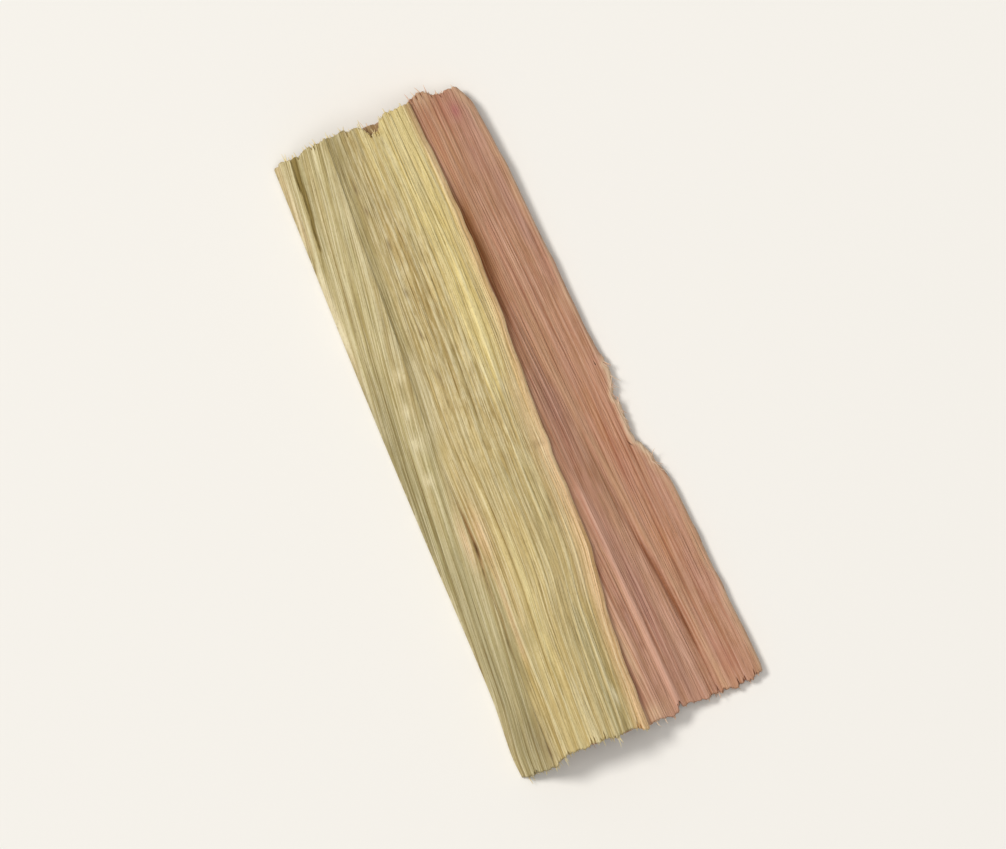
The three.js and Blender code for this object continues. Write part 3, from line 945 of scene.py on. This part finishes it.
# %% A socket with Python's arithmetic
class Wire:
    def __init__(self, tree, socket):
        self.tree, self.socket = tree, socket

    def node(self, kind, settings=None, sockets=None, output=0):
        """Adds a node of this kind, sets its settings, then its sockets, and gives one of its outputs."""
        made = self.tree.nodes.new("ShaderNode" + kind)
        for name, value in (settings or {}).items():
            setattr(made, name, value)
        for name, value in (sockets or {}).items():
            if isinstance(value, Wire):
                self.tree.links.new(value.socket, made.inputs[name])
            else:
                made.inputs[name].default_value = value
        return Wire(self.tree, made.outputs[output])

    def math(self, operation, *values):
        return self.node("Math", {"operation": operation}, dict(enumerate(values)))

    def __add__(self, other):
        return self.math("ADD", self, other)

    def __radd__(self, other):
        return self.math("ADD", other, self)

    def __sub__(self, other):
        return self.math("SUBTRACT", self, other)

    def __rsub__(self, other):
        return self.math("SUBTRACT", other, self)

    def __mul__(self, other):
        return self.math("MULTIPLY", self, other)

    def __rmul__(self, other):
        return self.math("MULTIPLY", other, self)

    def __truediv__(self, other):
        return self.math("DIVIDE", self, other)

    def __rtruediv__(self, other):
        return self.math("DIVIDE", other, self)

    def __pow__(self, other):
        return self.math("POWER", self, other)


# %% A colour from a paint chart
def paint(code):
    """#rrggbb, as a painter reads it off a chart, turned into the linear numbers that light uses."""
    parts = [int(code[i:i + 2], 16) / 255 for i in (1, 3, 5)]
    return (*[c / 12.92 if c <= 0.04045 else ((c + 0.055) / 1.055) ** 2.4 for c in parts], 1.0)


# %% A finish: one material with its wires
class Finish(Wire):
    def __init__(self, name, palette):
        self.material = bpy.data.materials.new(name)
        self.material.use_nodes = True
        super().__init__(self.material.node_tree, None)
        self.shader = self.tree.nodes["Principled BSDF"]
        self.palette = palette
        self.colour = None

    def mark(self, name):
        """One of the values that the mesh carries."""
        return self.node("Attribute", {"attribute_name": name}, output="Fac")

    def noise(self, across, along, fibres, lengths, detail=2.0, seed=0.0):
        """Noise with this many grains a millimetre across the veins and along them, spread from 0 to 1."""
        place = self.node("CombineXYZ", sockets={"X": across * fibres, "Y": along * lengths, "Z": seed})
        sockets = {"Vector": place, "Scale": 1.0, "Detail": detail, "Roughness": 0.6}
        return self.step(self.node("TexNoise", sockets=sockets), 0.3, 0.7)

    def step(self, value, low, high):
        """0 below low and 1 above high, with a soft step between."""
        sockets = {"Value": value, "From Min": low, "From Max": high}
        return self.node("MapRange", {"interpolation_type": "SMOOTHSTEP"}, sockets)

    def blend(self, share, first, second, how="MIX"):
        settings = {"data_type": "RGBA", "blend_type": how}
        first, second = (self.palette[c] if isinstance(c, str) else c for c in (first, second))
        return self.node("Mix", settings, {0: share, 6: first, 7: second}, output=2)

    def lay(self, share, tone):
        """Lays a tone over the colour so far."""
        self.colour = self.blend(share, self.colour, tone)

    def lay_marks(self, *layers):
        """Lays a tone wherever a mark says, for each mark, share and tone in turn."""
        for mark, share, tone in layers:
            self.lay(self.mark(mark) * share, tone)

    def deepen(self, share):
        """Darker and stronger in the same hue, as where a strand is thicker."""
        self.colour = self.blend(share, self.colour, "tint", "MULTIPLY")

    def finish(self, roughness, height, **constants):
        """Feeds the shader the colour, the roughness, the height in millimetres as bump, and constants."""
        normal = self.node("Bump", sockets={"Height": height, "Distance": MM, "Strength": 1.0})
        for name, value in {"Base Color": self.colour, "Roughness": roughness, "Normal": normal}.items():
            self.tree.links.new(value.socket, self.shader.inputs[name])
        for name, value in constants.items():
            self.shader.inputs[name.replace("_", " ")].default_value = value
        print(self.material.name, "uses", len(self.tree.nodes), "nodes")
        return self.material


# %% [markdown]
# ## The straw finish of the outer sheath
#
# Dried sheath isn't one yellow. Every strand in it has its own tone, from cream to grey-green, the
# grooves are duller than the ribs, and the dimples went brown. So the colour starts from noise that is
# drawn out along the strands, at several widths, and the marks on the mesh then say where each other tone
# belongs, and where highlight and shade are painted. The side walls take a calmer tone, because the marks
# of the rim would run down them as bars.

# %% Straw
STRAW = {
    "straw": paint("#dbc791"),
    "tint": paint("#d8cdae"),
    "cream": paint("#f5e8bf"),
    "green": paint("#b9b182"),
    "pale_green": paint("#d0cb9d"),
    "yellow": paint("#e8d295"),
    "sunny": paint("#ffeaa2"),
    "amber": paint("#f0cb90"),
    "olive": paint("#9a8c5a"),
    # Painted shade in the crack that runs in from the tip.
    "split": paint("#86702f"),
    "peach": paint("#fad6aa"),
    "edge": paint("#fdd4a2"),
    "tan": paint("#c9ab6a"),
    # Rust-brown stains the crack and the band; along the margin near the tip it is painted shade.
    "umber": paint("#9c824b"),
    "rust_and_shade": paint("#9c6b36"),
    "brown": paint("#6b4a28"),
    "lining": paint("#cfc195"),
    "pith": paint("#cdb985"),
}


# %% What both finishes share
MAIN_VEIN_SHARPNESS, FINE_VEIN_SHARPNESS = 14, 7
DOT_LEVEL, DOT_RADIUS, DOT_SOFT_RADIUS = 0.4, 0.05, 0.09


def bundle_dots(f, phase, spacing, depth, thickness):
    """The cut veins, as round spots in the cut faces, one to each rib."""
    sideways = (phase.math("FRACT", phase) - 0.5) * spacing
    down = (depth - DOT_LEVEL) * thickness
    radius = (sideways ** 2 + down ** 2) ** 0.5
    return 1 - f.step(radius, DOT_RADIUS, DOT_SOFT_RADIUS)


def vein_lines(f, phase):
    """The veins themselves: a pale line on each rib, and fainter ones between."""
    turn = (phase + 0.5) * (2 * math.pi)
    main = (0.5 + 0.5 * turn.math("COSINE", turn)) ** MAIN_VEIN_SHARPNESS
    between_them = turn * 3 + math.pi
    fine = (0.5 + 0.5 * turn.math("COSINE", between_them)) ** FINE_VEIN_SHARPNESS
    return main, fine


def finish_other_faces(f, phase, hair, grain, spacing, thickness, calm, skin, flesh):
    """The side walls, the lower face, and the cuts with their dots."""
    depth = f.mark("depth")
    f.lay(f.step(depth, 0.1, 0.5) * calm, "lining")
    f.lay(f.mark("under"), f.blend(hair * 0.5, "lining", skin))
    pith = f.blend(bundle_dots(f, phase, spacing, depth, thickness), flesh, "pith")
    f.lay(f.mark("cut") * 0.8, f.blend(grain * 0.4, pith, "cream"))


# %% The straw finish
def straw_finish():
    f = Finish("straw_sheath", STRAW)
    phase, along = f.mark("phase"), f.mark("along")
    across = phase * RIB_SPACING
    tone = f.noise(across, along, 2.2, 0.1, seed=3.0)
    strand = f.noise(across, along, 9.0, 0.12, detail=3.0, seed=7.0)
    hair = f.noise(across, along, 30.0, 0.35, detail=3.0, seed=12.0)
    stripe = f.noise(across, along, 4.5, 0.1, detail=1.0, seed=17.0)
    dash = f.noise(across, along, 9.0, 1.5, detail=2.0, seed=20.0)
    line = f.noise(across, along, 16.0, 0.2, detail=2.0, seed=41.0)
    cloud = f.noise(across, along, 1.3, 0.5, detail=3.0, seed=25.0)
    grain = f.noise(across, along, 26.0, 8.0, detail=2.0, seed=31.0)
    main_vein, fine_vein = vein_lines(f, phase)

    f.colour = f.blend(tone, "straw", "yellow")
    f.lay(f.step(cloud, 0.4, 1.0) * 0.3, "tan")
    f.lay(f.mark("green") * (0.45 + tone * 0.4), f.blend(strand, "green", "pale_green"))
    f.lay_marks(("golden", 0.2, "tan"), ("sunny", 0.85, "sunny"), ("band", 0.85, "amber"))
    f.lay(f.step(stripe, 0.5, 0.9) * 0.25, "cream")
    f.deepen(f.step(1 - stripe, 0.5, 0.9) * 0.35)
    f.lay(f.step(strand, 0.5, 1.0) * 0.3, "cream")
    f.deepen(f.step(1 - strand, 0.5, 1.0) * 0.45)
    f.deepen(f.mark("groove") * (0.75 + 0.25 * cloud))
    f.deepen(f.mark("groove") ** 2 * 0.6)
    dashes = f.step(1 - dash, 0.5, 0.85) * (0.6 + 0.4 * f.mark("pucker"))
    f.lay(f.mark("mottle") * dashes * 0.5, "tan")
    f.lay(f.mark("mottle") * f.step(1 - dash, 0.75, 1.0) * 0.4, "umber")
    f.lay(f.mark("mottle") * f.step(dash, 0.55, 0.9) * 0.38, "cream")
    f.lay_marks(("shade", 0.7, "olive"), ("peach", 0.75, "peach"), ("pale", 0.85, "cream"))
    f.lay((main_vein * 0.3 + fine_vein * 0.15) * (0.5 + strand * 0.5), "cream")
    f.lay_marks(("sunny", 0.35, "sunny"), ("peach_band", 0.85, "edge"))
    f.deepen(f.step(1 - line, 0.7, 0.82) * 0.65)
    f.deepen(f.step(1 - hair, 0.62, 0.78) * 0.5)
    f.lay(f.step(hair, 0.65, 0.85) * 0.35, "cream")
    f.deepen(f.step(1 - grain, 0.6, 1.0) * 0.35)
    # Rust-brown: a real stain at the crack and the band, and painted shade along the margin near the tip.
    f.lay_marks(("rust_and_shade", 0.75, "rust_and_shade"), ("split", 0.8, "split"), ("brown", 0.8, "brown"))
    finish_other_faces(f, phase, hair, grain, RIB_SPACING, OUTER_THICKNESS, 0.75, "straw", "tan")

    height = 0.01 * strand + 0.018 * hair + 0.014 * f.step(line, 0.15, 0.35)
    height = height + 0.008 * dash * f.mark("mottle")
    height = height + 0.006 * grain + 0.009 * main_vein + 0.005 * fine_vein
    roughness = 0.5 + 0.25 * f.mark("groove") + 0.15 * grain
    return f.finish(roughness, height, Specular_IOR_Level=0.4)


# %% [markdown]
# ## The rose finish of the inner sheath
#
# The red comes from anthocyanins, the pigments of red cabbage, and it fades unevenly as the sheath dries:
# purple in a few patches, and almost gone along the free margin. The thin pleats and the ridge are paler and
# pinker, partly their own colour and partly painted highlight, and the grooves are darker brown.

# %% Rose
ROSE = {
    "rose": paint("#c0936f"),
    "tint": paint("#d0ab93"),
    "brown_rose": paint("#b48460"),
    "pink": paint("#c19079"),
    "blush": paint("#c6957f"),
    "pale_pink": paint("#dcae97"),
    "sandy": paint("#dcae88"),
    "plum": paint("#a4776a"),
    "umber": paint("#916849"),
    "red": paint("#ba7a62"),
    "orange": paint("#c48a5e"),
    "salmon": paint("#e0aa90"),
    "deep": paint("#8e5428"),
    # The colour of the painted shadow beside the outer sheath's margin.
    "shaded": paint("#a5621e"),
    "magenta": paint("#b85c6c"),
    "dull": paint("#988456"),
    "tan": paint("#dab792"),
    "cream": paint("#e6d2b2"),
    "lining": paint("#cfae8e"),
    "pith": paint("#d3ae8c"),
}


def rose_finish():
    f = Finish("rose_sheath", ROSE)
    phase, along = f.mark("phase"), f.mark("along")
    across = phase * INNER_RIB_SPACING
    tone = f.noise(across, along, 1.4, 0.25, seed=2.0)
    strand = f.noise(across, along, 9.0, 0.12, detail=3.0, seed=6.0)
    hair = f.noise(across, along, 30.0, 0.35, detail=3.0, seed=11.0)
    cloud = f.noise(across, along, 2.2, 1.2, detail=4.0, seed=16.0)
    blush = f.noise(across, along, 1.6, 0.7, detail=3.0, seed=21.0)
    line = f.noise(across, along, 15.0, 0.2, detail=2.0, seed=43.0)
    grain = f.noise(across, along, 26.0, 9.0, seed=33.0)
    main_vein, fine_vein = vein_lines(f, phase)

    f.colour = f.blend(tone, "rose", "pink")
    f.lay(f.step(cloud, 0.4, 1.0) * 0.6, "brown_rose")
    f.lay(f.step(blush, 0.5, 1.0) * 0.45, "blush")
    f.lay_marks(("orange", 0.6, "orange"), ("red", 0.5, "red"), ("light", 0.4, "sandy"))
    f.lay_marks(("salmon", 0.3, "salmon"), ("plum", 0.6, "plum"), ("umber", 0.45, "umber"))
    f.lay(f.step(strand, 0.5, 1.0) * 0.3, "pale_pink")
    f.deepen(f.step(1 - strand, 0.5, 1.0) * 0.4)
    f.lay(main_vein * (0.1 + 0.3 * strand) + fine_vein * 0.08, "pale_pink")
    # Pleats and ridge: partly their own colour, partly painted highlight.
    f.lay_marks(("pleat", 0.75, "pale_pink"), ("ridge", 0.6, "sandy"), ("groove", 0.7, "deep"))
    # The first mark here is painted shadow beside the outer sheath's margin.
    f.lay_marks(("painted_margin_shadow", 0.82, "shaded"), ("dark", 0.45, "deep"))
    f.lay_marks(("spot", 0.5, "magenta"), ("dull", 0.85, "dull"))
    f.lay(f.mark("edge") * (0.2 + 0.5 * strand), "tan")
    f.lay_marks(("frayed", 0.75, "tan"), ("torn", 0.6, "cream"))
    f.deepen(f.step(1 - line, 0.7, 0.85) * 0.4)
    f.deepen(f.step(1 - hair, 0.6, 0.8) * 0.35)
    f.lay(f.step(hair, 0.65, 0.85) * 0.25, "pale_pink")
    finish_other_faces(f, phase, hair, grain, INNER_RIB_SPACING, INNER_THICKNESS, 0.6, "rose", "rose")

    height = 0.008 * strand + 0.013 * hair + 0.01 * f.step(line, 0.15, 0.35)
    height = height + 0.005 * grain + 0.005 * main_vein
    roughness = 0.58 + 0.2 * grain + 0.1 * (1 - strand)
    return f.finish(roughness, height, Specular_IOR_Level=0.35)


# %% Fibre finishes
FLECKS_PER_MM = 9


def fibre_finish(name, palette, light, dark):
    f = Finish(name, palette)
    place = f.node("NewGeometry", output="Position")
    fleck = f.node("TexNoise", sockets={"Vector": place, "Scale": FLECKS_PER_MM / MM, "Detail": 2.0})
    f.colour = f.blend(f.mark("tone") * 0.6 + fleck * 0.4, light, dark)
    return f.finish(0.55 + 0.2 * fleck, 0.004 * fleck)


# %% Dress the pieces and hang them in the frame
def hang(piece, finish):
    piece.data.materials.append(finish)
    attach(piece, "root")


hang(outer_sheath, straw_finish())
hang(inner_sheath, rose_finish())
hang(outer_ends, fibre_finish("straw_fibre", STRAW, "cream", "straw"))
hang(inner_ends, fibre_finish("rose_fibre", ROSE, "cream", "pale_pink"))
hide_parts("outer_sheath")
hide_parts("inner_sheath")

# %% [markdown]
# ## Table, light and camera
#
# The piece lies on a pale table and is seen from straight above, with its tip leaning to the left. A
# large soft lamp at the upper left draws the ribs, and a wide one overhead keeps the hollows open.

# %% Table
TABLE_HALF = 0.6
TABLE_DROP = 0.01 * MM


def make_table():
    h = TABLE_HALF
    mesh = bpy.data.meshes.new("table")
    mesh.from_pydata([(-h, -h, 0), (h, -h, 0), (h, h, 0), (-h, h, 0)], [], [(0, 1, 2, 3)])
    table = add_object("table", mesh)
    table.location.z = -TABLE_DROP
    f = Finish("pale_table", {})
    f.shader.inputs["Base Color"].default_value = paint("#efece6")
    f.shader.inputs["Roughness"].default_value = 0.9
    mesh.materials.append(f.material)


make_table()

# %% Camera
LEAN = math.radians(25)
FRAME_HEIGHT = 23.5 * MM
CAMERA_HEIGHT = 0.5
PICTURE = (1006, 849)


def make_camera():
    data = bpy.data.cameras.new("camera")
    data.lens = data.sensor_width * CAMERA_HEIGHT / (FRAME_HEIGHT * PICTURE[0] / PICTURE[1])
    data.clip_start, data.clip_end = 0.05, 5
    camera = add_object("camera", data)
    camera.location = (0, 0, CAMERA_HEIGHT)
    camera.rotation_euler = (0, 0, -LEAN)
    bpy.context.scene.camera = camera
    print("lens in mm:", round(data.lens))


make_camera()

# %% Light
PICTURE_RIGHT = Vector((math.cos(LEAN), -math.sin(LEAN), 0))
PICTURE_UP = Vector((math.sin(LEAN), math.cos(LEAN), 0))
ROOM_STRENGTH = 0.25


def make_lamp(name, right, up, height, size, power, colour=(1, 1, 1)):
    data = bpy.data.lights.new(name, "AREA")
    data.shape, data.size, data.energy, data.color = "DISK", size, power, colour
    lamp = add_object(name, data)
    lamp.location = PICTURE_RIGHT * right + PICTURE_UP * up + Vector((0, 0, height))
    lamp.rotation_euler = lamp.location.to_track_quat("Z", "Y").to_euler()


def light_room():
    room = bpy.data.worlds.new("room")
    room.use_nodes = True
    background = room.node_tree.nodes["Background"]
    background.inputs["Color"].default_value = (1, 1, 1, 1)
    background.inputs["Strength"].default_value = ROOM_STRENGTH
    bpy.context.scene.world = room


make_lamp("key", right=-0.45, up=0.2, height=0.8, size=0.25, power=5.3, colour=(1.0, 0.985, 0.96))
make_lamp("overhead", right=0.1, up=0.0, height=1.1, size=0.9, power=4.2)
light_room()
bpy.context.scene.view_settings.view_transform = "Standard"
